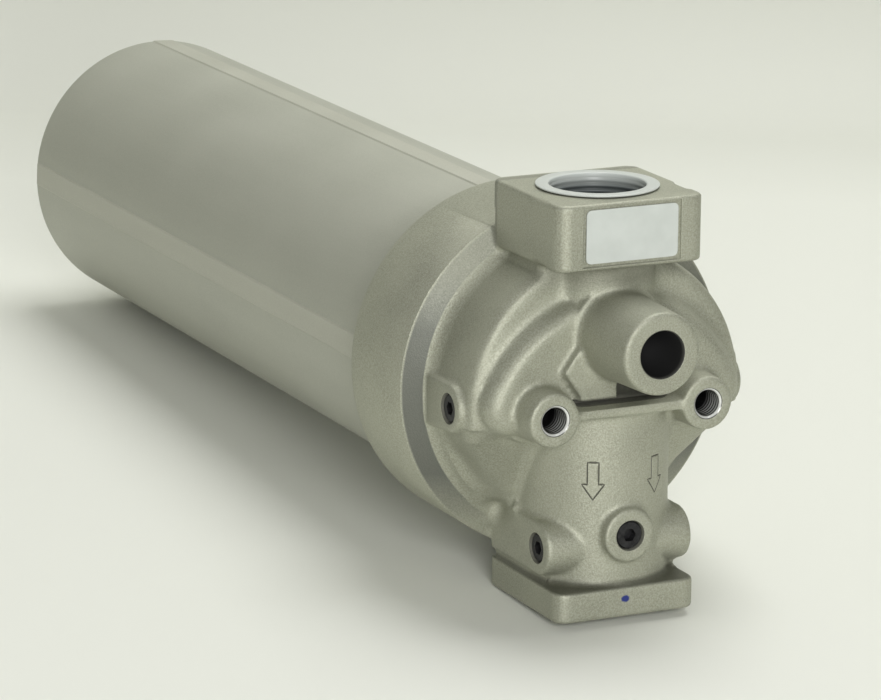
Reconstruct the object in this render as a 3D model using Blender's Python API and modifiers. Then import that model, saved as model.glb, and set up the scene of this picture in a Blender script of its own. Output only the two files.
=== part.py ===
"""Inline return filter: a cast head with two ports in line, and a long screwed-on bowl.

Lengths are in metres. The sizes below are taken from the point where the port axis (Z)
crosses the bowl axis (Y). The bowl runs towards +Y and the bosses face -Y. An empty lifts
the whole model so that the origin is the bottom centre of its box.
"""

import math

import bmesh
import bpy
from mathutils import Matrix, Vector

# Clearances
GAP = 0.0003            # between pieces that touch
STEM_GAP = 0.0004       # round the moving poppet stem
LAP = 0.0020            # how far a joined shape reaches into its neighbour
REACH = 0.0010          # how far a cutter runs past a face

# Bowl
BOWL_R = 0.0639
BOWL_WALL = 0.0045
BOWL_SEAT = 0.0340
BOWL_LENGTH = 0.4426
BOWL_END_THICKNESS = 0.0065
BOWL_ROUND = 0.0060
MOUTH_CHAMFER = 0.0010
STRIP_WIDTH = 0.0105
STRIP_RISE = 0.0009
WRENCH_HEX = 0.0360
WRENCH_HEX_HEIGHT = 0.0080

# Skirt that takes the bowl
SKIRT_WALL = 0.0090
SKIRT_FRONT = 0.0280
SKIRT_REAR = 0.0820
SKIRT_SHOULDER = 0.0075
SKIRT_EDGE = 0.0010
VALLEY_Y = 0.0205
VALLEY_ROUND = 0.0036

# Bell in front of the skirt, bare only above the hump
BELL_STEP = 0.0120
BELL_FRONT = -0.0115
BELL_ROUND = 0.0042
BELL_DRAFT = 0.0006
BELL_LOW = -0.0082
CHAMBER_WALL = 0.0060
CHAMBER_FRONT = 0.0155

# Hump on the upper front
HUMP_MARGIN = 0.0004
HUMP_CENTRE_Z = -0.0160
HUMP_SIDE_Z = 0.0060
HUMP_LOBE_R = 0.0120
HUMP_FRONT = -0.0205
HUMP_ROUND = 0.0070
NECK_R = 0.0235
NECK_FOOT_Z = 0.0220

# Lower cheeks, flat flanks from the bell down to the duct
CHEEK_FLANK_ANGLE = -16
WAIST_X = 0.0335
WAIST_Z = -0.0475
WAIST_LOW_Z = -0.0600
CHEEK_FRONT = -0.0110
CHEEK_TOP_Z = -0.0080
CHEEK_FOOT_Y = 0.0100
CHEEK_FOOT_Z = -0.0460
CHEEK_ROUND = 0.0050
RIDGE_WIDTH = 0.0034
RIDGE_RISE = 0.0024

# Duct down to the outlet
DUCT_R = 0.0305
DUCT_REAR = 0.0302
DUCT_TOP = -0.0010

# Port block and outlet flange
BLOCK_HALF_X = 0.0326
BLOCK_HALF_Y = 0.0310
BLOCK_TOP = 0.0846
BLOCK_HEIGHT = 0.0271
FLANGE_HALF_X = 0.0314
FLANGE_HALF_Y = 0.0322
FLANGE_BOTTOM = -0.0862
FLANGE_THICKNESS = 0.0126
BLOCK_CORNER = 0.0055
BLOCK_EDGE = 0.0008

# Ports and passages
PORT_R = 0.0210
PORT_DEPTH = 0.0240
PORT_CHAMFER = 0.0010
PASSAGE_R = 0.0165
INLET_FLOOR = 0.0310
THROAT_R = 0.0130
THROAT_Z = 0.0415
OUTLET_TOP = 0.0120
SPIGOT_R = 0.0215
SPIGOT_WALL = 0.0060
SPIGOT_LENGTH = 0.0240

# Indicator boss
BIG_BOSS_Z = 0.0284
BIG_BOSS_FACE = -0.0577
BIG_BOSS_R = 0.0168
BIG_BOSS_TAPER = 0.0014
BIG_BORE_R = 0.0095
BIG_BORE_DEPTH = 0.0300
SENSE_HOLE_R = 0.0020
SENSE_HOLE_RISE = 0.0068

# Threaded mounting bosses, the rib that joins them and the web above it
MOUNT_X = 0.0342
MOUNT_Z = -0.0009
MOUNT_FACE = -0.0334
MOUNT_BOSS_R = 0.0110
MOUNT_HOLE_R = 0.0054
MOUNT_HOLE_MOUTH = 0.0067
MOUNT_HOLE_DEPTH = 0.0190
BOSS_FLARE = 0.0026
BOSS_EDGE = 0.0005
RIB_FRONT = -0.0326
RIB_TOP = 0.0014
RIB_BOTTOM = -0.0024
WEB_RISE = 0.0035
WEB_TOP_HALF = 0.0180
WEB_TOP_Z = 0.0260
WEB_WIDE_HALF = 0.0256
WEB_WIDE_Z = 0.0153
WEB_FOOT_HALF = 0.0153

# Plugged test ports
PLUG_HEAD_R = 0.0058
PLUG_HEAD_THICKNESS = 0.0022
PLUG_SHANK_R = 0.0042
PLUG_SHANK_LENGTH = 0.0060
PLUG_SINK = 0.0008
PLUG_HEX = 0.0050
PLUG_HEX_DEPTH = 0.0035
PLUG_SEAL_R = 0.0006
PLUG_SEAL_SIDES = 4
FRONT_PLUG_Z = -0.0519
FRONT_BOSS_FACE = -0.0336
FRONT_BOSS_R = 0.0111
SIDE_PAD_RISE = 0.0029
SIDE_PLUG_Y = 0.0026
SIDE_PLUG_Z = -0.0013
SIDE_NOSE_R = 0.0100
SIDE_TAIL_HALF = 0.0088
SIDE_TAIL_Y = 0.0235
SIDE_DRILL_DEPTH = 0.0161
SIDE_DRILL_R = 0.0022
LOWER_PAD_RISE = 0.0020
LOWER_PLUG_Y = -0.0145
LOWER_PLUG_Z = -0.0584
LOWER_NOSE_R = 0.0110
LOWER_TAIL_Y = 0.0294
PAD_EDGE = 0.0006

# Name plate
PLATE_HALF_X = 0.0203
PLATE_BOTTOM = 0.0606
PLATE_TOP = 0.0822
PLATE_THICKNESS = 0.0004
PLATE_SINK = 0.0003
PLATE_CORNER = 0.0020
PLATE_MARGIN = 0.0014

# Inlet port cap
CAP_LIP = 0.0040
CAP_LIP_THICKNESS = 0.0009
CAP_STAND = 0.0004      # under the lip, which doesn't quite bed down
CAP_WALL = 0.0012
CAP_DEPTH = 0.0160

# Bowl seal and its backup ring
SEAL_Y = 0.0680
SEAL_SECTION_R = 0.0016
BACKUP_THICKNESS = 0.0014

# Filter element
ELEMENT_R = 0.0455
PLEATS = 48
PLEAT_DEPTH = 0.0110
PLEAT_INNER_R = 0.0227
CORE_WALL = 0.0011
CORE_HOLE_R = 0.0032
CORE_HOLES_ROUND = 4
CORE_HOLE_PITCH = 0.0660
CORE_HOLE_SIDES = 6
END_CAP_THICKNESS = 0.0040
END_CAP_RIM = 0.0070
END_CAP_RIM_WALL = 0.0013
SLEEVE_LENGTH = 0.0110
SLEEVE_WALL = 0.0055
ELEMENT_SEAL_R = 0.0014

# Bypass valve inside the element's far end
SEAT_R = 0.0090
SEAT_LAP = 0.0030
POPPET_THICKNESS = 0.0024
STEM_R = 0.0026
STEM_TAIL = 0.0050
BYPASS_SPRING_R = 0.0068
BYPASS_WIRE_R = 0.0007
BYPASS_TURNS = 4
CAGE_R = 0.0160
CAGE_WALL = 0.0014
CAGE_LENGTH = 0.0240
CAGE_WINDOW_HALF = 0.0065
CAGE_BAND = 0.0045

# Spring that holds the element on its spigot
HOLD_SPRING_LENGTH = 0.0200
HOLD_SPRING_R = 0.0200
HOLD_WIRE_R = 0.0011
HOLD_TURNS = 3
CUP_CLEARANCE = 0.0017
CUP_THICKNESS = 0.0012
CUP_RIM = 0.0035

# Smoothness
STEPS_LARGE = 48
STEPS_MEDIUM = 32
STEPS_INNER = 24
STEPS_SMALL = 16
COIL_STEPS = 12

# Places that follow from the sizes
bore_r = BOWL_R + GAP
skirt_r = bore_r + SKIRT_WALL
bell_r = skirt_r - BELL_STEP
hump_r = bell_r - HUMP_MARGIN
chamber_r = bell_r - CHAMBER_WALL
block_bottom = BLOCK_TOP - BLOCK_HEIGHT
flange_top = FLANGE_BOTTOM + FLANGE_THICKNESS
side_face = bell_r + SIDE_PAD_RISE
side_drill_end = side_face - SIDE_DRILL_DEPTH
lower_face = DUCT_R + LOWER_PAD_RISE
spigot_end = CHAMBER_FRONT + SPIGOT_LENGTH
spigot_bore_r = SPIGOT_R - SPIGOT_WALL

bowl_mouth = BOWL_SEAT + GAP
bowl_end = bowl_mouth + BOWL_LENGTH
bowl_floor = bowl_end - BOWL_END_THICKNESS
bowl_inner_r = BOWL_R - BOWL_WALL
bowl_tip = bowl_end + WRENCH_HEX_HEIGHT

seal_floor_r = bore_r + 2 * SEAL_SECTION_R + GAP
groove_front = SEAL_Y - SEAL_SECTION_R - GAP
groove_rear = groove_front + 2 * SEAL_SECTION_R + BACKUP_THICKNESS + 3 * GAP

cup_face = bowl_floor - GAP - CUP_THICKNESS
far_cap_outer = cup_face - GAP - HOLD_SPRING_LENGTH - GAP
far_cap_inner = far_cap_outer - END_CAP_THICKNESS
media_end = far_cap_inner - GAP
near_cap_inner = spigot_end + GAP
media_start = near_cap_inner + END_CAP_THICKNESS + GAP
rim_inner_r = ELEMENT_R + GAP
rim_outer_r = rim_inner_r + END_CAP_RIM_WALL
core_r = PLEAT_INNER_R - GAP
core_inner_r = core_r - CORE_WALL

poppet_r = SEAT_R + SEAT_LAP
cage_floor = media_end - CAGE_LENGTH
stem_end = cage_floor - STEM_TAIL

plug_step = PLUG_SINK + PLUG_HEAD_THICKNESS + 2 * (PLUG_SEAL_R + GAP)
plug_end = PLUG_SINK + PLUG_HEAD_THICKNESS + PLUG_SHANK_LENGTH
plate_floor = BLOCK_HALF_Y - PLATE_SINK - PLATE_THICKNESS - GAP

for old in list(bpy.data.objects):
    bpy.data.objects.remove(old, do_unlink=True)

parts = bpy.data.collections.new("inline_return_filter")
tools = bpy.data.collections.new("cutters")
bpy.context.scene.collection.children.link(parts)
bpy.context.scene.collection.children.link(tools)

frame = bpy.data.objects.new("port_and_bowl_axes", None)
frame.location = (0, -(BIG_BOSS_FACE + bowl_tip) / 2, -FLANGE_BOTTOM)
parts.objects.link(frame)

UP = Matrix.Identity(4)
DOWN = Matrix.Rotation(math.pi, 4, "X")
ALONG_BOWL = Matrix.Rotation(-math.pi / 2, 4, "X")       # local Z becomes +Y
TOWARDS_FRONT = Matrix.Rotation(math.pi / 2, 4, "X")     # local Z becomes -Y, local Y becomes +Z
NOSE_FORWARD = Matrix.Rotation(-math.pi / 2, 4, "Z")     # local X becomes -Y
CROSSWISE = Matrix(((0, 0, 1, 0), (1, 0, 0, 0), (0, 1, 0, 0), (0, 0, 0, 1)))  # local XYZ becomes YZX
CENTRE = (0, 0, 0)


def sideways(side):
    """Local Z becomes +X or -X, and local X becomes -Y."""
    return Matrix.Rotation(side * math.pi / 2, 4, "Y") @ NOSE_FORWARD


# Materials

def finish(name, colour, roughness, metallic):
    material = bpy.data.materials.new(name)
    material.use_nodes = True
    shader = material.node_tree.nodes["Principled BSDF"]
    shader.inputs["Base Color"].default_value = (*colour, 1)
    shader.inputs["Roughness"].default_value = roughness
    shader.inputs["Metallic"].default_value = metallic
    return material


CAST = finish("cast_aluminium", (0.42, 0.42, 0.36), 0.55, 0.8)
TURNED = finish("turned_aluminium", (0.46, 0.46, 0.42), 0.45, 0.85)
STEEL = finish("dark_steel", (0.07, 0.07, 0.08), 0.35, 0.9)
PLATED = finish("plated_steel", (0.55, 0.56, 0.55), 0.35, 0.9)
RUBBER = finish("nitrile_rubber", (0.02, 0.02, 0.02), 0.6, 0.0)
PTFE = finish("white_ptfe", (0.85, 0.85, 0.82), 0.4, 0.0)
PLASTIC = finish("white_plastic", (0.86, 0.88, 0.86), 0.35, 0.0)
FILM = finish("plate_film", (0.82, 0.83, 0.82), 0.5, 0.0)
MEDIA = finish("filter_media", (0.88, 0.86, 0.78), 0.8, 0.0)
BRASS = finish("brass", (0.63, 0.50, 0.25), 0.35, 0.9)


# Helpers

def set_in_frame(obj, turn, spot):
    obj.parent = frame
    obj.matrix_local = Matrix.Translation(Vector(spot)) @ turn


def part(obj, material, turn=UP, spot=CENTRE):
    set_in_frame(obj, turn, spot)
    parts.objects.link(obj)
    obj.data.materials.append(material)
    return obj


def tool(obj, turn, spot):
    set_in_frame(obj, turn, spot)
    tools.objects.link(obj)
    obj.hide_render = True
    obj.display_type = "WIRE"
    return obj


def combine(target, other, operation):
    """Joins or cuts. The head's long chain stays closed at other sizes only by the second solver."""
    change = target.modifiers.new(operation.lower(), "BOOLEAN")
    change.operation = operation
    change.solver = "MANIFOLD" if target.name == "head_casting" else "EXACT"
    change.object = other


def add(target, shape, turn=UP, spot=CENTRE):
    combine(target, tool(shape, turn, spot), "UNION")


def cut(target, shape, turn=UP, spot=CENTRE):
    combine(target, tool(shape, turn, spot), "DIFFERENCE")


def bevel(obj, width, segments=2, angle=50):
    round_off = obj.modifiers.new("round", "BEVEL")
    round_off.width = width
    round_off.segments = segments
    round_off.limit_method = "ANGLE"
    round_off.angle_limit = math.radians(angle)
    return obj


def mesh_object(name, build):
    mesh = bpy.data.meshes.new(name)
    shape = bmesh.new()
    build(shape)
    bmesh.ops.recalc_face_normals(shape, faces=shape.faces)
    shape.to_mesh(mesh)
    shape.free()
    return bpy.data.objects.new(name, mesh)


def arc(centre, radius, start, stop, steps):
    """Points round a centre from one angle to another, in degrees."""
    angles = [math.radians(start + (stop - start) * i / steps) for i in range(steps + 1)]
    return [(centre[0] + radius * math.cos(a), centre[1] + radius * math.sin(a)) for a in angles]


def mirrored(right):
    """An outline whose right half runs from its foot to its crown, with its left half added."""
    return right + [(-x, y) for x, y in reversed(right) if x > 0]


def turned(name, profile, steps=STEPS_MEDIUM, ring=False):
    """A profile of (radius, height) that runs down its outer side, spun about Z."""
    count = len(profile)
    links = [(i, i + 1) for i in range(count - 1)]
    if ring:
        links.append((count - 1, 0))
    mesh = bpy.data.meshes.new(name)
    mesh.from_pydata([(r, 0, z) for r, z in profile], links, [])
    obj = bpy.data.objects.new(name, mesh)
    screw = obj.modifiers.new("spin", "SCREW")
    screw.steps = steps
    screw.render_steps = steps
    screw.use_merge_vertices = True
    screw.merge_threshold = 0.00001
    screw.use_smooth_shade = True
    return obj


def rod(name, radius, bottom, top, steps=STEPS_MEDIUM):
    return turned(name, [(0, top), (radius, top), (radius, bottom), (0, bottom)], steps)


def round_ring(name, centre_r, section_r, steps=STEPS_INNER, sides=6):
    section = arc((centre_r, 0), section_r, 90, -270, sides)[:-1]
    return turned(name, section, steps, ring=True)


def drill(name, radius, depth, mouth, steps=STEPS_INNER):
    """A hole down -Z from a face at 0, with a 45 degree mouth."""
    profile = [(0, REACH), (mouth + REACH, REACH), (radius, radius - mouth)]
    return turned(name, profile + [(radius, -depth), (0, -depth)], steps)


def boss(name, radius, face, base, flare=0.0, taper=0.0, steps=STEPS_MEDIUM):
    """A round boss along +Z from a base plane to its machined face."""
    foot = radius + taper
    profile = [(0, face), (radius - BOSS_EDGE, face), (radius, face - BOSS_EDGE)]
    if flare:
        profile += arc((foot + flare, base + flare), flare, 180, 270, 3)
    else:
        profile += [(foot, base)]
    profile += [(profile[-1][0], base - LAP), (0, base - LAP)]
    return turned(name, profile, steps)


def prism(name, outline, bottom, top):
    """A flat outline of (x, y) points pushed up along Z."""
    def build(shape):
        base = shape.faces.new([shape.verts.new((x, y, bottom)) for x, y in outline])
        pushed = bmesh.ops.extrude_face_region(shape, geom=[base])["geom"]
        moved = [v for v in pushed if isinstance(v, bmesh.types.BMVert)]
        bmesh.ops.translate(shape, vec=(0, 0, top - bottom), verts=moved)
    return mesh_object(name, build)


def box(name, low, high):
    def build(shape):
        size = Vector(high) - Vector(low)
        middle = (Vector(high) + Vector(low)) / 2
        seat = Matrix.Translation(middle) @ Matrix.Diagonal((*size, 1))
        bmesh.ops.create_cube(shape, size=1, matrix=seat)
    return mesh_object(name, build)


def rounded_outline(half_x, half_y, radius, steps=4):
    points = []
    for sign_x, sign_y, start in ((1, 1, 0), (-1, 1, 90), (-1, -1, 180), (1, -1, 270)):
        corner = (sign_x * (half_x - radius), sign_y * (half_y - radius))
        points += arc(corner, radius, start, start + 90, steps)
    return points


def nose_outline(radius, tail, tail_half, steps=12):
    """A round nose towards +X whose flanks run back to a flat tail."""
    return arc((0, 0), radius, -90, 90, steps) + [(-tail, tail_half), (-tail, -tail_half)]


def hexagon(across_flats):
    return arc((0, 0), across_flats / math.sqrt(3), 0, 360, 6)[:-1]


def coil(name, radius, wire, turns, length, steps):
    """A compression spring along +Z, from 0 to its length, with a closed turn at each end."""
    curve = bpy.data.curves.new(name, "CURVE")
    curve.dimensions = "3D"
    curve.bevel_depth = wire
    curve.bevel_resolution = 1
    curve.use_fill_caps = True
    spline = curve.splines.new("POLY")
    total = (turns + 2) * steps
    spline.points.add(total)
    closed_pitch = 2 * wire + GAP
    open_pitch = (length - 2 * wire - 2 * closed_pitch) / turns
    for i in range(total + 1):
        turn = i / steps
        closed = min(turn, 1) + max(turn - 1 - turns, 0)
        height = wire + closed_pitch * closed + open_pitch * (turn - closed)
        angle = 2 * math.pi * turn
        spline.points[i].co = (radius * math.cos(angle), radius * math.sin(angle), height, 1)
    return bpy.data.objects.new(name, curve)


# Head casting

def skirt_body():
    shoulder = (skirt_r - SKIRT_SHOULDER, SKIRT_REAR - SKIRT_SHOULDER)
    profile = [(0, SKIRT_REAR)] + arc(shoulder, SKIRT_SHOULDER, 90, 0, 5)
    profile += [(skirt_r, SKIRT_FRONT + SKIRT_EDGE), (skirt_r - SKIRT_EDGE, SKIRT_FRONT)]
    profile += [(bell_r + VALLEY_ROUND, VALLEY_Y + VALLEY_ROUND)]
    profile += [(bell_r + VALLEY_ROUND / 4, VALLEY_Y + VALLEY_ROUND / 2)]
    profile += [(bell_r - LAP, VALLEY_Y), (0, VALLEY_Y)]
    return turned("head_casting", profile, STEPS_LARGE)


def bell_body():
    """The round shoulder behind the hump, kept only above the cheeks."""
    corner = (bell_r - BELL_DRAFT - BELL_ROUND, BELL_FRONT + BELL_ROUND)
    profile = [(0, SKIRT_FRONT), (bell_r, SKIRT_FRONT)] + arc(corner, BELL_ROUND, 0, -90, 4)
    bell = turned("bell", profile + [(0, BELL_FRONT)], STEPS_LARGE)
    low = (-skirt_r, BELL_FRONT - REACH, -skirt_r)
    cut(bell, box("below_the_bell", low, (skirt_r, skirt_r, BELL_LOW)))
    return bell


def hump_body():
    """A lobed dome front, rounded along its edge."""
    side = math.degrees(math.asin((HUMP_SIDE_Z - HUMP_CENTRE_Z) / hump_r))
    reach = hump_r - HUMP_LOBE_R
    lobe = (reach * math.cos(math.radians(side)), HUMP_CENTRE_Z + reach * math.sin(math.radians(side)))
    right = [(0, lobe[1] - HUMP_LOBE_R)] + arc(lobe, HUMP_LOBE_R, -90, side - 18, 5)
    right += arc((0, HUMP_CENTRE_Z), hump_r, side, 90, 10)[:-1]
    right += [(0, HUMP_CENTRE_Z + hump_r)]
    return bevel(prism("hump", mirrored(right), -VALLEY_Y, -HUMP_FRONT), HUMP_ROUND, 4)


def lean_line(offset):
    """Where the cheeks' leaning face starts and ends as (y, z), moved forward by an offset."""
    return (CHEEK_FRONT - offset, CHEEK_TOP_Z), (CHEEK_FOOT_Y - offset, CHEEK_FOOT_Z)


def cheek_body():
    """The lower front, whose face leans back from the bosses to the foot of the duct."""
    right = [(0, WAIST_LOW_Z), (WAIST_X, WAIST_LOW_Z), (WAIST_X, WAIST_Z)]
    right += arc(CENTRE, hump_r - HUMP_MARGIN, CHEEK_FLANK_ANGLE, 4, 3) + [(0, 0)]
    cheeks = prism("lower_cheeks", mirrored(right), -SKIRT_FRONT, -CHEEK_FRONT)
    top, foot = lean_line(0)
    slope = (foot[0] - top[0]) / (top[1] - foot[1])
    high = (CHEEK_FRONT - REACH, CHEEK_TOP_Z + REACH / slope)
    low = (CHEEK_FRONT + slope * (CHEEK_TOP_Z + skirt_r), -skirt_r)
    shave = [high, low, (-skirt_r, -skirt_r), (-skirt_r, high[1])]
    cut(cheeks, prism("lean", shave, -skirt_r, skirt_r), CROSSWISE)
    return bevel(cheeks, CHEEK_ROUND, 3, 40)


def ridge(side):
    """The narrow ridge where the duct's wall meets a cheek."""
    outline = list(lean_line(RIDGE_RISE)) + list(reversed(lean_line(-2 * RIDGE_RISE)))
    low, high = sorted((side * (lower_face - RIDGE_WIDTH), side * (lower_face - PAD_EDGE)))
    return prism("flank_ridge", outline, low, high)


def side_pad(name, nose_r, plug_y, tail_y, tail_half, inner, face):
    outline = nose_outline(nose_r, tail_y - plug_y, tail_half)
    return bevel(prism(name, outline, inner, face), PAD_EDGE, 1)


def web_plate():
    right = [(0, RIB_TOP - LAP / 2), (WEB_FOOT_HALF, RIB_TOP - LAP / 2)]
    right += [(WEB_WIDE_HALF, WEB_WIDE_Z), (WEB_TOP_HALF, WEB_TOP_Z), (0, WEB_TOP_Z)]
    return prism("web", mirrored(right), -HUMP_FRONT - LAP, -HUMP_FRONT + WEB_RISE)


def add_outside(head):
    add(head, bell_body(), ALONG_BOWL)
    add(head, cheek_body(), TOWARDS_FRONT)
    add(head, hump_body(), TOWARDS_FRONT)
    add(head, rod("neck", NECK_R, NECK_FOOT_Z, block_bottom + LAP))
    block = prism("port_block", rounded_outline(BLOCK_HALF_X, BLOCK_HALF_Y, BLOCK_CORNER),
                  block_bottom, BLOCK_TOP)
    add(head, bevel(block, BLOCK_EDGE, 1))
    duct = nose_outline(DUCT_R, DUCT_REAR, DUCT_R, STEPS_INNER)
    add(head, prism("duct", duct, flange_top - LAP, DUCT_TOP), NOSE_FORWARD)
    flange = prism("outlet_flange", rounded_outline(FLANGE_HALF_X, FLANGE_HALF_Y, BLOCK_CORNER),
                   FLANGE_BOTTOM, flange_top)
    add(head, bevel(flange, BLOCK_EDGE, 1))
    add(head, web_plate(), TOWARDS_FRONT)
    rib = box("rib", (-MOUNT_X, RIB_FRONT, RIB_BOTTOM), (MOUNT_X, BELL_FRONT + LAP, RIB_TOP))
    add(head, rib)
    big = boss("indicator_boss", BIG_BOSS_R, -BIG_BOSS_FACE, -HUMP_FRONT, BOSS_FLARE, BIG_BOSS_TAPER)
    add(head, big, TOWARDS_FRONT, (0, 0, BIG_BOSS_Z))
    front = boss("front_plug_boss", FRONT_BOSS_R, -FRONT_BOSS_FACE, PASSAGE_R + LAP)
    add(head, front, TOWARDS_FRONT, (0, 0, FRONT_PLUG_Z))
    for side in (-1, 1):
        mount = boss("mount_boss", MOUNT_BOSS_R, -MOUNT_FACE, -BELL_FRONT, BOSS_FLARE, BOSS_EDGE)
        add(head, mount, TOWARDS_FRONT, (side * MOUNT_X, 0, MOUNT_Z))
        add(head, ridge(side), CROSSWISE)
        pad = side_pad("side_pad", SIDE_NOSE_R, SIDE_PLUG_Y, SIDE_TAIL_Y, SIDE_TAIL_HALF,
                       side_drill_end, side_face)
        add(head, pad, sideways(side), (0, SIDE_PLUG_Y, SIDE_PLUG_Z))
        pad = side_pad("lower_pad", LOWER_NOSE_R, LOWER_PLUG_Y, LOWER_TAIL_Y, LOWER_NOSE_R,
                       PASSAGE_R + LAP, lower_face)
        add(head, pad, sideways(side), (0, LOWER_PLUG_Y, LOWER_PLUG_Z))


def bowl_bore():
    """The bowl's socket with its seal groove, and the chamber in front of it."""
    rim = bore_r + MOUTH_CHAMFER
    profile = [(0, SKIRT_REAR + REACH), (rim + REACH, SKIRT_REAR + REACH)]
    profile += [(bore_r, SKIRT_REAR - MOUTH_CHAMFER), (bore_r, groove_rear)]
    profile += [(seal_floor_r, groove_rear), (seal_floor_r, groove_front)]
    profile += [(bore_r, groove_front), (bore_r, BOWL_SEAT), (chamber_r, BOWL_SEAT)]
    profile += [(chamber_r, CHAMBER_FRONT), (0, CHAMBER_FRONT)]
    return turned("bowl_bore", profile, STEPS_LARGE)


def cut_passages(head):
    cut(head, bowl_bore(), ALONG_BOWL)
    add(head, rod("spigot", SPIGOT_R, CHAMBER_FRONT - LAP, spigot_end), ALONG_BOWL)
    port_mouth = PORT_R + PORT_CHAMFER
    inlet = drill("inlet_thread", PORT_R, PORT_DEPTH, port_mouth, STEPS_MEDIUM)
    cut(head, inlet, UP, (0, 0, BLOCK_TOP))
    passage = rod("inlet_passage", PASSAGE_R, INLET_FLOOR, BLOCK_TOP - PORT_DEPTH + REACH, STEPS_INNER)
    cut(head, passage)
    throat = rod("throat", THROAT_R, 0, CHAMBER_FRONT + REACH, STEPS_INNER)
    cut(head, throat, ALONG_BOWL, (0, 0, THROAT_Z))
    outlet = drill("outlet_thread", PORT_R, PORT_DEPTH, port_mouth, STEPS_MEDIUM)
    cut(head, outlet, DOWN, (0, 0, FLANGE_BOTTOM))
    low = FLANGE_BOTTOM + PORT_DEPTH - REACH
    cut(head, rod("outlet_passage", PASSAGE_R, low, OUTLET_TOP, STEPS_INNER))
    bore = rod("spigot_bore", spigot_bore_r, -PASSAGE_R / 2, spigot_end + REACH, STEPS_INNER)
    cut(head, bore, ALONG_BOWL)


def cut_faces(head):
    low = (-PLATE_HALF_X - PLATE_MARGIN, -BLOCK_HALF_Y - REACH, PLATE_BOTTOM - PLATE_MARGIN)
    high = (PLATE_HALF_X + PLATE_MARGIN, -plate_floor, PLATE_TOP + PLATE_MARGIN)
    cut(head, box("plate_recess", low, high))
    indicator = drill("indicator_bore", BIG_BORE_R, BIG_BORE_DEPTH, BIG_BORE_R + BOSS_EDGE)
    cut(head, indicator, TOWARDS_FRONT, (0, BIG_BOSS_FACE, BIG_BOSS_Z))
    sense_start = -BIG_BOSS_FACE - BIG_BORE_DEPTH + REACH
    sense = rod("sense_hole", SENSE_HOLE_R, 0, sense_start, STEPS_SMALL)
    cut(head, sense, TOWARDS_FRONT, (0, 0, BIG_BOSS_Z + SENSE_HOLE_RISE))
    for side in (-1, 1):
        hole = drill("mount_hole", MOUNT_HOLE_R, MOUNT_HOLE_DEPTH, MOUNT_HOLE_MOUTH)
        cut(head, hole, TOWARDS_FRONT, (side * MOUNT_X, MOUNT_FACE, MOUNT_Z))


# Each test port: name, turn that points out of its face, spot on the face, depth of its drilling
test_ports = [("front", TOWARDS_FRONT, (0, FRONT_BOSS_FACE, FRONT_PLUG_Z), -FRONT_BOSS_FACE - LAP)]
for word, side in (("left", -1), ("right", 1)):
    test_ports += [
        (word + "_side", sideways(side), (side * side_face, SIDE_PLUG_Y, SIDE_PLUG_Z),
         SIDE_DRILL_DEPTH),
        (word + "_lower", sideways(side), (side * lower_face, LOWER_PLUG_Y, LOWER_PLUG_Z),
         lower_face - LAP),
    ]


def cut_test_ports(head):
    for name, turn, spot, depth in test_ports:
        head_r = PLUG_HEAD_R + GAP
        profile = [(0, REACH), (head_r, REACH), (head_r, -plug_step)]
        profile += [(PLUG_SHANK_R + GAP, -plug_step), (PLUG_SHANK_R + GAP, -depth), (0, -depth)]
        cut(head, turned(name + "_port", profile, STEPS_SMALL), turn, spot)
    for side in (-1, 1):
        feed = rod("side_port_feed", SIDE_DRILL_R, SIDE_PLUG_Y, CHAMBER_FRONT + REACH, STEPS_SMALL)
        middle = side_drill_end + SIDE_DRILL_R + LAP
        cut(head, feed, ALONG_BOWL, (side * middle, 0, SIDE_PLUG_Z))


def make_head():
    head = part(skirt_body(), CAST, ALONG_BOWL)
    add_outside(head)
    cut_passages(head)
    cut_faces(head)
    cut_test_ports(head)


# Small parts on the head

def make_name_plate():
    middle = (PLATE_TOP + PLATE_BOTTOM) / 2
    outline = rounded_outline(PLATE_HALF_X, (PLATE_TOP - PLATE_BOTTOM) / 2, PLATE_CORNER, 3)
    plate = prism("name_plate", outline, plate_floor + GAP, plate_floor + GAP + PLATE_THICKNESS)
    part(plate, FILM, TOWARDS_FRONT, (0, 0, middle))


def make_port_cap():
    seat = BLOCK_TOP + CAP_STAND
    outer_r = PORT_R - GAP
    inner_r = outer_r - CAP_WALL
    lip_top = seat + CAP_LIP_THICKNESS
    floor = seat - CAP_DEPTH
    profile = [(0, floor + CAP_WALL), (inner_r, floor + CAP_WALL), (inner_r, lip_top)]
    profile += [(PORT_R + CAP_LIP, lip_top), (PORT_R + CAP_LIP, seat), (outer_r, seat)]
    profile += [(outer_r, floor), (0, floor)]
    part(turned("inlet_port_cap", profile, STEPS_LARGE), PLASTIC)


def make_plugs():
    for name, turn, spot, _ in test_ports:
        under = -PLUG_SINK - PLUG_HEAD_THICKNESS
        profile = [(0, -PLUG_SINK), (PLUG_HEAD_R - BOSS_EDGE, -PLUG_SINK)]
        profile += [(PLUG_HEAD_R, -PLUG_SINK - BOSS_EDGE), (PLUG_HEAD_R, under)]
        profile += [(PLUG_SHANK_R, under), (PLUG_SHANK_R, -plug_end), (0, -plug_end)]
        plug = part(turned(name + "_plug", profile, STEPS_SMALL), STEEL, turn, spot)
        socket = prism("hex_socket", hexagon(PLUG_HEX), -PLUG_SINK - PLUG_HEX_DEPTH, REACH)
        cut(plug, socket, turn, spot)
        seal_r = PLUG_SHANK_R + GAP + PLUG_SEAL_R
        seal = round_ring(name + "_plug_seal", seal_r, PLUG_SEAL_R, STEPS_SMALL, PLUG_SEAL_SIDES)
        below_head = Matrix.Translation((0, 0, under - GAP - PLUG_SEAL_R))
        part(seal, RUBBER, turn @ below_head, spot)


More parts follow.
